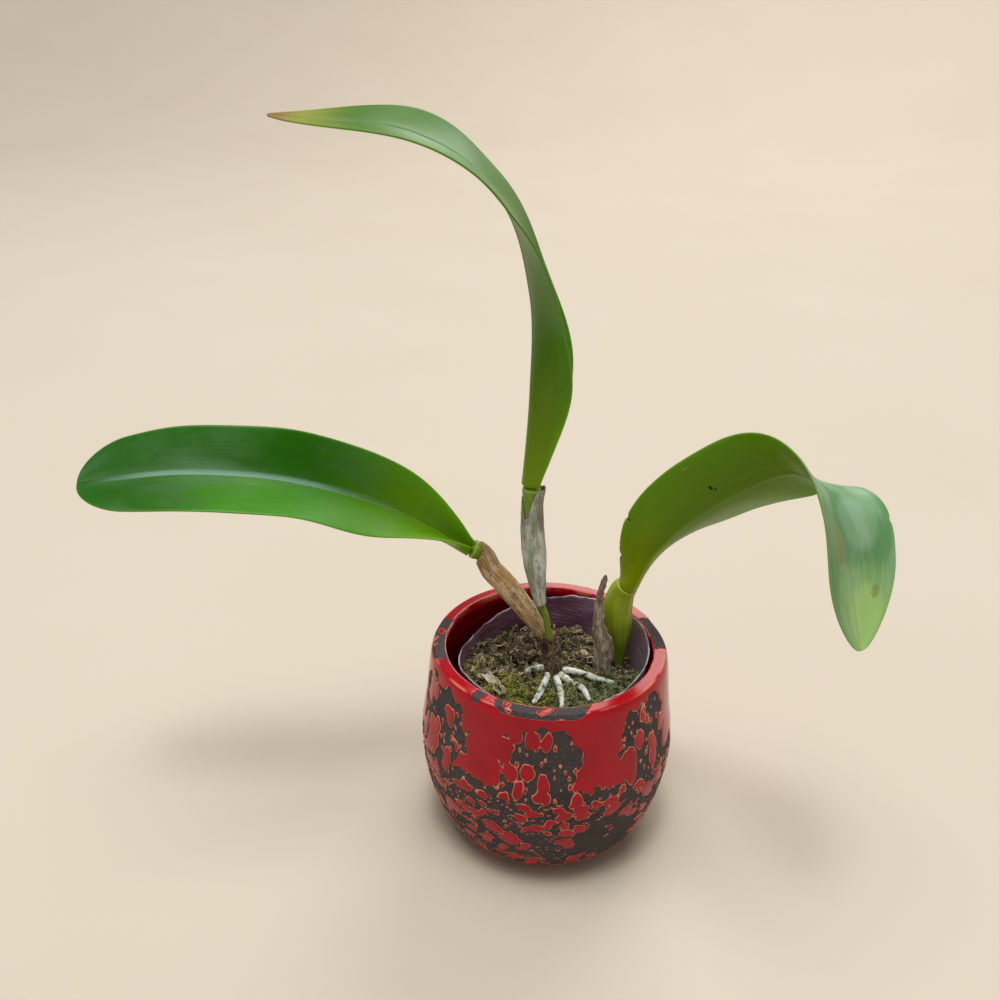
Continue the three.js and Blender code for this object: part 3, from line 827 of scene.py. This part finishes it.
bareness = bareness + 0.25 * soft_step(patch(rings, *BAREST), 0, 0.7)
bareness = bareness * (1 - is_inside[:, None])
# Flecks are long up and down near the rim, and long round the pot below its belly
fleck_height = np.minimum(1.5 * rings[..., 2], 0.6 * rings[..., 2] + 52)
fleck_place = np.stack([rings[..., 0], rings[..., 1], fleck_height], axis=-1) * MM
radius = np.hypot(rings[..., 0], rings[..., 1])
# Bands along the rim's outer and inner edges: thin glaze there, and a painted highlight along both
# edges.
outer_edge = np.exp(-((radius - 57.9) / 0.5) ** 2) * soft_step(rings[..., 2], 104, 104.6)
inner_edge = np.exp(-((radius - 52.3) / 0.35) ** 2) * soft_step(rings[..., 2], 104, 104.6)


def glaze_flecks(g, fleck, per_metre, reach):
    """Round flecks of glaze: over 0 inside a fleck, in shares of the spacing between flecks."""
    stir = g.noise(fleck, per_metre * 0.9, 2, 0.5).socket.node
    stir = g.scaled(Wire(g, stir.outputs["Color"]), (0.75 / per_metre,) * 3)
    cells = g.add("ShaderNodeTexVoronoi", {"feature": "SMOOTH_F1"},
                  {"Vector": g.vector("ADD", fleck, stir), "Scale": per_metre, "Smoothness": 0.25})
    size = g.noise(fleck, per_metre * 0.6, 1).step(0.34, 0.6) * 0.55 + 0.45
    return size * reach - cells


def glaze_thickness(g, fleck, bare):
    """How thick the glaze lies: over 0 the pot is glazed, under 0 bare."""
    large = glaze_flecks(g, fleck, 124.0, 0.56)
    small = glaze_flecks(g, fleck, 300.0, 0.33) * 0.4
    return large.most(small) + (1 - bare) * 1.2


def glaze_build(g):
    place = g.place()
    thickness = glaze_thickness(g, g.mark("fleck_place", True), g.mark("bareness"))
    glazed = thickness.step(-0.006, 0.006)
    thin = thickness.step(0.045, 0.02) * glazed
    # Pale along the rim's edges: thin glaze, with a painted highlight over it.
    thin_glaze_and_highlight = g.mark("edge_thin_glaze_and_highlight") * g.noise(place, 90, 2).step(0.35, 0.6)
    red = g.mix(g.noise(place, 60, 3).step(0.4, 0.7), (170, 0, 26), (154, 0, 22))
    red = g.mix(g.noise(place, 700, 2).step(0.62, 0.75) * 0.15, red, (200, 10, 30))
    red = g.mix(thin.most(thin_glaze_and_highlight * glazed * 0.9) * 0.8, red, (232, 150, 116))
    grit = g.noise(place, 1300, 3, 0.7)
    clay = g.mix(grit.step(0.35, 0.7), (54, 48, 50), (84, 77, 79))
    clay = g.mix(g.noise(place, 26, 3).step(0.45, 0.7) * 0.6, clay, (46, 40, 41))
    # Small light specks on the bare clay: painted glints of sheen.
    clay = g.mix(g.noise(place, 1900, 1).step(0.71, 0.75), clay, (150, 126, 116))
    height = thickness.step(-0.02, 0.09) + (1 - glazed) * grit * 0.2
    return {
        "Base Color": g.mix(glazed, clay, red),
        "Roughness": 0.8 - glazed * 0.66 + thin * 0.12,
        "Normal": bump(g, height, 0.4),
    }


glaze = material("red_glaze", glaze_build, Specular_IOR_Level=0.29)


def geometry_tree(name, inputs):
    """A Geometry Nodes tree with a mesh in and out and the named inputs."""
    tree = bpy.data.node_groups.new(name, "GeometryNodeTree")
    tree.interface.new_socket("Mesh", in_out="INPUT", socket_type="NodeSocketGeometry")
    for label, kind in inputs.items():
        tree.interface.new_socket(label, in_out="INPUT", socket_type="NodeSocket" + kind)
    tree.interface.new_socket("Mesh", in_out="OUTPUT", socket_type="NodeSocketGeometry")
    entry = tree.nodes.new("NodeGroupInput")
    g = Graph(tree)
    wires = {socket.name: Wire(g, socket) for socket in entry.outputs if socket.name}
    return g, wires


def end_tree(g, mesh, finish):
    dressed = g.add("GeometryNodeSetMaterial", None, {"Geometry": mesh, "Material": finish})
    solid = g.add("GeometryNodeRealizeInstances", None, {"Geometry": dressed})
    done = g.tree.nodes.new("NodeGroupOutput")
    g.tree.links.new(solid.socket, done.inputs[0])
    return g


def grown(piece, g, name, values):
    """The plain mesh object that a Geometry Nodes tree makes of a piece."""
    modifier = piece.modifiers.new("shape", "NODES")
    modifier.node_group = g.tree
    for socket in g.tree.interface.items_tree:
        if socket.in_out == "INPUT" and socket.name in values:
            modifier[socket.identifier] = values[socket.name]
    evaluated = piece.evaluated_get(bpy.context.evaluated_depsgraph_get())
    mesh = bpy.data.meshes.new_from_object(evaluated)
    mesh.name = name
    piece.modifiers.clear()
    return placed(name, mesh)


def drop(piece):
    mesh = piece.data
    bpy.data.objects.remove(piece)
    bpy.data.meshes.remove(mesh)


def glaze_relief_tree():
    """Sinks the pot's skin where the glaze is missing."""
    g, wires = geometry_tree("glaze_relief", {"Depth": "Float", "Glaze": "Material"})
    vector = {"data_type": "FLOAT_VECTOR"}
    fleck = g.add("GeometryNodeInputNamedAttribute", vector, {"Name": "fleck_place"})
    bare = g.add("GeometryNodeInputNamedAttribute", {"data_type": "FLOAT"}, {"Name": "bareness"})
    glazed = glaze_thickness(g, fleck, bare).step(-0.06, 0.06)
    normal = g.add("GeometryNodeInputNormal")
    depth = (glazed - 1) * wires["Depth"]
    offset = g.add("ShaderNodeVectorMath", {"operation": "SCALE"}, {0: normal, "Scale": depth})
    moved = g.add("GeometryNodeSetPosition", None, {"Geometry": wires["Mesh"], "Offset": offset})
    return end_tree(g, moved, wires["Glaze"])


marks = {"fleck_place": fleck_place, "bareness": bareness, "edge_thin_glaze_and_highlight": outer_edge + inner_edge}
plain_pot = skin("plain_pot", rings, marks)
pot = grown(plain_pot, glaze_relief_tree(), "glazed_pot", {"Depth": GLAZE_DEPTH * MM, "Glaze": glaze})
drop(plain_pot)
hand_over(pot, "red_glaze", None, "ceramic_pot")


# Thin inner pot

def liner_radius(z):
    return LINER_BOTTOM + (LINER_TOP - LINER_BOTTOM) * (z - POT_FLOOR) / (POT_HEIGHT - POT_FLOOR)


def liner_rings(sides=260, rows=90):
    """The inner pot's wall: ridged round, with a torn top edge."""
    angle = np.linspace(0, 2 * np.pi, sides, endpoint=False)
    circle = np.stack([np.cos(angle), np.sin(angle), 0 * angle], axis=-1)
    edge = smooth(LINER_EDGE + LINER_EDGE[:1], angle / (2 * np.pi))
    edge = edge - 0.9 + 0.9 * lumps(circle, 0.12, 2) + 0.5 * lumps(circle, 0.04, 3)
    low = POT_FLOOR + STEM_GAP
    part = np.concatenate([[0, 0.3, 0.55], np.linspace(0.7, 1, rows)])[:, None]
    z = low + (edge - low) * part
    ridge = 0.05 * np.cos(z * 3.1 + 2 * np.sin(3 * angle)) * soft_step(z, 60, 74)
    around = np.stack([z, np.cos(angle) * 40 + 0 * z, np.sin(angle) * 40 + 0 * z], axis=-1)
    dent = 0.35 * lumps(around, 14, 4)

    def wall(offset):
        radius = liner_radius(z) - 0.5 + ridge + dent * soft_step(z, 70, 90) + offset
        x, y = radius * np.cos(angle) + LINER_X, radius * np.sin(angle)
        return np.stack([x, y, z + 0 * radius], axis=-1)

    inside = wall(-LINER_WALL)[::-1].copy()
    inside[-1, :, 2] += LINER_WALL
    return np.concatenate([wall(0), inside])


def liner_build(g):
    place = g.place()
    scratch = g.noise(g.scaled(place, (50, 50, 900)), 1.0, 3, 0.65)
    cloud = g.noise(place, 60, 3)
    side, _, height = g.parts(place)
    clear = (side + (cloud - 0.5) * 0.03).step(0.018, 0.05)
    tilted = g.joined(side * 60, side * 160 + height * 1000, 3)
    marks = g.noise(tilted, 1.0, 3, 0.65)
    colour = g.mix(cloud.step(0.35, 0.7), (104, 66, 92), (136, 100, 124))
    colour = g.mix(clear * 0.8, colour, (190, 176, 190))
    colour = g.mix(scratch.step(0.56, 0.74) * 0.4, colour, (184, 168, 190))
    colour = g.mix(marks.step(0.6, 0.72) * 0.55, colour, (200, 188, 204))
    milk = g.mark("edge") * g.noise(place, 130, 2).step(0.4, 0.6)
    colour = g.mix(milk * 0.5, colour, (206, 190, 206))
    alpha = 0.86 - clear * 0.5 + scratch.step(0.5, 0.8) * 0.14 + milk * 0.3
    return {"Base Color": colour, "Alpha": alpha.least(1), "Roughness": 0.3 + cloud * 0.2,
            "Normal": bump(g, scratch, 0.2)}


liner_skin = liner_rings()
half = len(liner_skin) // 2
part = np.concatenate([np.linspace(0, 1, half), np.linspace(1, 0, half)])
edge_mark = np.repeat(soft_step(part, 0.955, 1.0)[:, None], liner_skin.shape[1], axis=1)
liner = skin("liner", liner_skin, {"edge": edge_mark})
hand_over(liner, "clear_plastic", material("clear_plastic", liner_build), "inner_pot")


# Moss and bark

def medium_height(x, y):
    hollow_x, hollow_y, radius, depth = MEDIUM_HOLLOW
    away = np.hypot(x - hollow_x, y - hollow_y) / radius
    waves = [height * np.sin(along_x * x + along_y * y + phase)
             for height, along_x, along_y, phase in MEDIUM_WAVES]
    return MEDIUM_LEVEL + sum(waves) - depth * np.exp(-away ** 2 / 2)


def medium_rings(sides=240, circles=84):
    """The settled mass: a plain side up to its rim, then a lumpy surface in to its middle."""
    angle = np.linspace(0, 2 * np.pi, sides, endpoint=False)
    rim = liner_radius(MEDIUM_LEVEL - 4) - 1.2
    low = liner_radius(POT_FLOOR) - 1.2
    rows = []
    for height, radius in ((8.5, low), (50, liner_radius(50) - 1.2)):
        rows.append(np.stack([radius * np.cos(angle) + LINER_X, radius * np.sin(angle),
                              0 * angle + height], axis=-1))
    for share in np.linspace(1, 0.004, circles):
        x, y = rim * share * np.cos(angle) + LINER_X, rim * share * np.sin(angle)
        rows.append(np.stack([x, y, medium_height(x, y)], axis=-1))
    rings = np.array(rows)
    top = rings[2:]
    lump = 2.4 * lumps(top, 8, 11) + 2.6 * lumps(top, 3.6, 12) + 1.0 * lumps(top, 1.5, 13)
    top[..., 2] += lump
    return rings


def brown_part(g, place):
    """1 where bark and fibres lie bare, towards the back, and 0 where moss grows."""
    wide = g.noise(place, 55, 3, 0.6)
    side, depth, _ = g.parts(place)
    return side, wide, (depth + (wide - 0.5) * 0.07).step(-0.012, 0.008)


def moss_colours(g):
    """Colour of the surface by place: olive at the front left, grey-green at the front right, and
    brown at the back."""
    place = g.place()
    small = g.noise(place, 330, 3, 0.6)
    side, wide, brown = brown_part(g, place)
    right = (side + (wide - 0.5) * 0.05).step(-0.008, 0.02)
    green = g.mix(right, (154, 152, 48), (116, 132, 94))
    colour = g.mix(brown, green, (132, 112, 84))
    colour = g.mix(small.step(0.45, 0.62) * 0.7, colour, (54, 46, 26))
    gaps = g.noise(place, 170, 3, 0.6)
    # Dark in the gaps between the moss and bits of bark: painted shade.
    colour = g.mix(gaps.step(0.5, 0.6) * 0.65, colour, (36, 32, 20))
    colour = g.mix(gaps.step(0.44, 0.36) * 0.35, colour, (178, 174, 104))
    return colour, small


def ground_build(g):
    colour, small = moss_colours(g)
    # Darker still where the ground lies low: painted shade in its hollows.
    low = g.parts(g.place())[2].step(0.085, 0.082)
    colour = g.mix(0.5 + low * 0.42, colour, (24, 20, 14))
    return {"Base Color": colour, "Roughness": 0.85 + small * 0.1, "Normal": bump(g, small, 0.9)}


def moss_build(g):
    colour, small = moss_colours(g)
    tint = g.mark("tint")
    colour = g.mix(tint.step(0.3, 0.95) * 0.55, colour, (178, 176, 100))
    colour = g.mix(tint.step(0.35, 0.0) * 0.6, colour, (50, 50, 24))
    return {"Base Color": colour, "Roughness": 0.75 + small * 0.2}


def fibre_build(g):
    tint = g.mark("tint")
    colour = g.mix(tint, (96, 76, 54), (206, 190, 158))
    colour = g.mix(g.noise(g.place(), 500, 2).step(0.5, 0.7) * 0.4, colour, (66, 50, 36))
    return {"Base Color": colour, "Roughness": 0.7 + tint * 0.2}


def chip_build(g):
    tint = g.mark("tint")
    grain = g.noise(g.scaled(g.place(), (900, 900, 300)), 1.0, 3, 0.6)
    colour = g.mix(tint.step(0.2, 1.0), (58, 42, 30), (186, 164, 132))
    colour = g.mix(grain.step(0.45, 0.65) * 0.6, colour, (44, 33, 24))
    return {"Base Color": colour, "Roughness": 0.8 + grain * 0.15, "Normal": bump(g, grain, 0.3)}


ground = skin("moss_ground", medium_rings())
ground_finish = material("peat", ground_build)
moss_finish = material("moss", moss_build)
fibre_finish = material("bark_fibre", fibre_build)
chip_finish = material("bark_chip", chip_build)
grit_finish = material("white_grit", root_build)


def moss_sprig():
    """A tiny moss shoot: leaflets that lean out in two tiers from its foot."""
    points, faces = [], []
    for tier, (count, reach, height) in enumerate(((5, 1.0, 0.55), (4, 0.6, 1.1))):
        for k in range(count):
            turn = 2 * np.pi * (k + tier / 2) / count
            out = np.array([math.cos(turn), math.sin(turn), 0])
            side = np.array([-out[1], out[0], 0]) * 0.22
            first = len(points)
            middle = out * reach * 0.5 + UP * height * 0.7
            points += [UP * 0.2 * tier, middle + side, middle - side, out * reach + UP * height]
            faces += [(first, first + 2, first + 1), (first + 1, first + 2, first + 3)]
    mesh = bpy.data.meshes.new("moss_sprig")
    mesh.from_pydata([tuple(point * MM) for point in points], [], faces)
    return placed("moss_sprig", mesh)


def bark_shard():
    """A small curled shard of bark, thick in its middle."""
    share = np.linspace(-1, 1, 6)[:, None]
    turn = np.linspace(0, 2 * np.pi, 6, endpoint=False)[None]
    broad = 0.55 * (1 - share ** 4) + 0.06
    rings = np.stack([share + 0 * turn, broad * np.cos(turn),
                      0.24 * broad * np.sin(turn) + 0.35 * share ** 2 + 0.1], axis=-1)
    return skin("bark_shard", rings)


def random_value(g, low, high, seed, kind="FLOAT"):
    """A different random value at each point. Vectors and numbers have their own sockets."""
    first, second, out = {"FLOAT": (2, 3, 1), "FLOAT_VECTOR": (0, 1, 0)}[kind]
    sockets = {first: low, second: high, "Seed": seed}
    return g.add("FunctionNodeRandomValue", {"data_type": kind}, sockets, out)


def top_points(g, wires, in_moss):
    """Points strewn over the faces that look up, in the moss or, at the back, in the bare bark."""
    up = g.parts(g.add("GeometryNodeInputNormal"))[2]
    brown = brown_part(g, g.add("GeometryNodeInputPosition"))[2]
    clump = g.noise(g.add("GeometryNodeInputPosition"), 210, 2).step(0.4, 0.58)
    share = (1 - brown * 0.75) * (clump * 0.9 + 0.1) if in_moss else brown * 0.88 + 0.12
    sockets = {"Mesh": wires["Mesh"], "Selection": up.math("GREATER_THAN", 0.15),
               "Density": wires["Density"] * share, "Seed": wires["Seed"]}
    return g.add("GeometryNodeDistributePointsOnFaces", None, sockets)


def tinted(g, planted, wires):
    """Gives each planted thing a random tint."""
    tint = random_value(g, 0.0, 1.0, wires["Seed"] + 3)
    return g.add("GeometryNodeStoreNamedAttribute", {"data_type": "FLOAT", "domain": "INSTANCE"},
                 {"Geometry": planted, "Name": "tint", "Value": tint})


def cover_tree(name, in_moss, lean):
    """Small things strewn over the surface, each with its own size, turn and tint."""
    inputs = {"Density": "Float", "Thing": "Object", "Least": "Float", "Most": "Float",
              "Seed": "Int", "Finish": "Material"}
    g, wires = geometry_tree(name, inputs)
    strewn = top_points(g, wires, in_moss)
    thing = g.add("GeometryNodeObjectInfo", None, {"Object": wires["Thing"]}, "Geometry")
    size = random_value(g, wires["Least"], wires["Most"], wires["Seed"] + 1)
    tilt = random_value(g, (-lean, -lean, 0), (lean, lean, 6.28), wires["Seed"] + 2, "FLOAT_VECTOR")
    planted = g.add("GeometryNodeInstanceOnPoints", None,
                    {"Points": strewn, "Instance": thing, "Rotation": tilt, "Scale": size})
    solid = g.add("GeometryNodeRealizeInstances", None, {"Geometry": tinted(g, planted, wires)})
    return end_tree(g, solid, wires["Finish"])


def fibre_tree():
    """Curled fibres that lie on the surface."""
    inputs = {"Density": "Float", "Length": "Float", "Thickness": "Float", "Seed": "Int",
              "Finish": "Material"}
    g, wires = geometry_tree("loose_fibres", inputs)
    strewn = top_points(g, wires, False)
    strand = g.add("GeometryNodeCurvePrimitiveLine", None,
                   {"Start": (-0.5, 0, 0.12), "End": (0.5, 0, 0.12)})
    strand = g.add("GeometryNodeResampleCurve", None, {"Curve": strand, "Count": 9})
    size = random_value(g, 0.35, 1.0, wires["Seed"] + 1) * wires["Length"]
    tilt = random_value(g, (-0.35, -0.35, 0), (0.35, 0.35, 6.28), wires["Seed"] + 2, "FLOAT_VECTOR")
    laid = g.add("GeometryNodeInstanceOnPoints", None,
                 {"Points": strewn, "Instance": strand, "Rotation": tilt, "Scale": size})
    laid = g.add("GeometryNodeRealizeInstances", None, {"Geometry": tinted(g, laid, wires)})
    place = g.add("GeometryNodeInputPosition")
    wander = g.add("ShaderNodeTexNoise", None,
                   {"Vector": place, "Scale": 210.0, "Detail": 1.0}, "Color")
    wander = g.vector("SUBTRACT", wander, (0.5, 0.5, 0.5))
    wander = g.vector("MULTIPLY", wander, (0.009, 0.009, 0.005))
    laid = g.add("GeometryNodeSetPosition", None, {"Geometry": laid, "Offset": wander})
    section = g.add("GeometryNodeCurvePrimitiveCircle", None,
                    {"Resolution": 5, "Radius": wires["Thickness"]})
    tubes = g.add("GeometryNodeCurveToMesh", None,
                  {"Curve": laid, "Profile Curve": section, "Fill Caps": True})
    return end_tree(g, tubes, wires["Finish"])


sprig = moss_sprig()
shard = bark_shard()
litter = []
for tree, lean, name, density, thing, least, most, seed, finish in (
    ("moss_cover", 0.6, "moss_shoots", 1_500_000.0, sprig, 0.8, 2.2, 4, moss_finish),
    ("bark_cover", 0.9, "bark_shards", 190_000.0, shard, 0.6, 3.2, 24, chip_finish),
    ("grit_cover", 0.9, "white_grit", 5_000.0, shard, 0.5, 1.0, 84, grit_finish),
):
    litter.append(grown(ground, cover_tree(tree, thing == sprig, lean), name, {
        "Density": density, "Thing": thing, "Least": least, "Most": most, "Seed": seed,
        "Finish": finish}))
for name, density, length, thickness, seed in (
    ("bark_fibres", 26_000.0, 6, 0.16, 44),
    ("bark_curls", 34_000.0, 4.5, 0.4, 64),
):
    litter.append(grown(ground, fibre_tree(), name, {
        "Density": density, "Length": length * MM, "Thickness": thickness * MM, "Seed": seed,
        "Finish": fibre_finish}))
drop(sprig)
drop(shard)
for piece in litter:
    hand_over(piece, "moss_and_bark", None)
hand_over(ground, "moss_and_bark", ground_finish, "growing_medium")


# Floor

def floor_build(g):
    cloud = g.noise(g.place(), 3, 3)
    return {"Base Color": g.mix(cloud, (196, 184, 168), (202, 191, 176)), "Roughness": 0.9}


def paper_sweep(flat, bend, sides=96, rows=14):
    """A round pale sheet, in metres: flat under the plant, and curved up far away on every side."""
    turn = np.linspace(0, 2 * np.pi, sides, endpoint=False)
    lean = np.linspace(0, 1.45, rows)
    reach, height = flat + bend * np.sin(lean), bend * (1 - np.cos(lean))
    points = np.stack([np.outer(reach, np.cos(turn)), np.outer(reach, np.sin(turn)),
                       np.outer(height, 1 + 0 * turn)], axis=-1).reshape(-1, 3)
    index = np.arange(rows * sides).reshape(rows, sides)
    after = np.roll(index, -1, axis=1)
    quads = np.stack([index[:-1], index[1:], after[1:], after[:-1]], axis=-1).reshape(-1, 4)
    mesh = bpy.data.meshes.new("floor")
    mesh.from_pydata(points.tolist(), [], [index[0].tolist()] + quads.tolist())
    mesh.shade_smooth()
    return placed("floor", mesh)


floor = paper_sweep(2.6, 2.4)
floor.data.materials.append(material("floor_paper", floor_build))
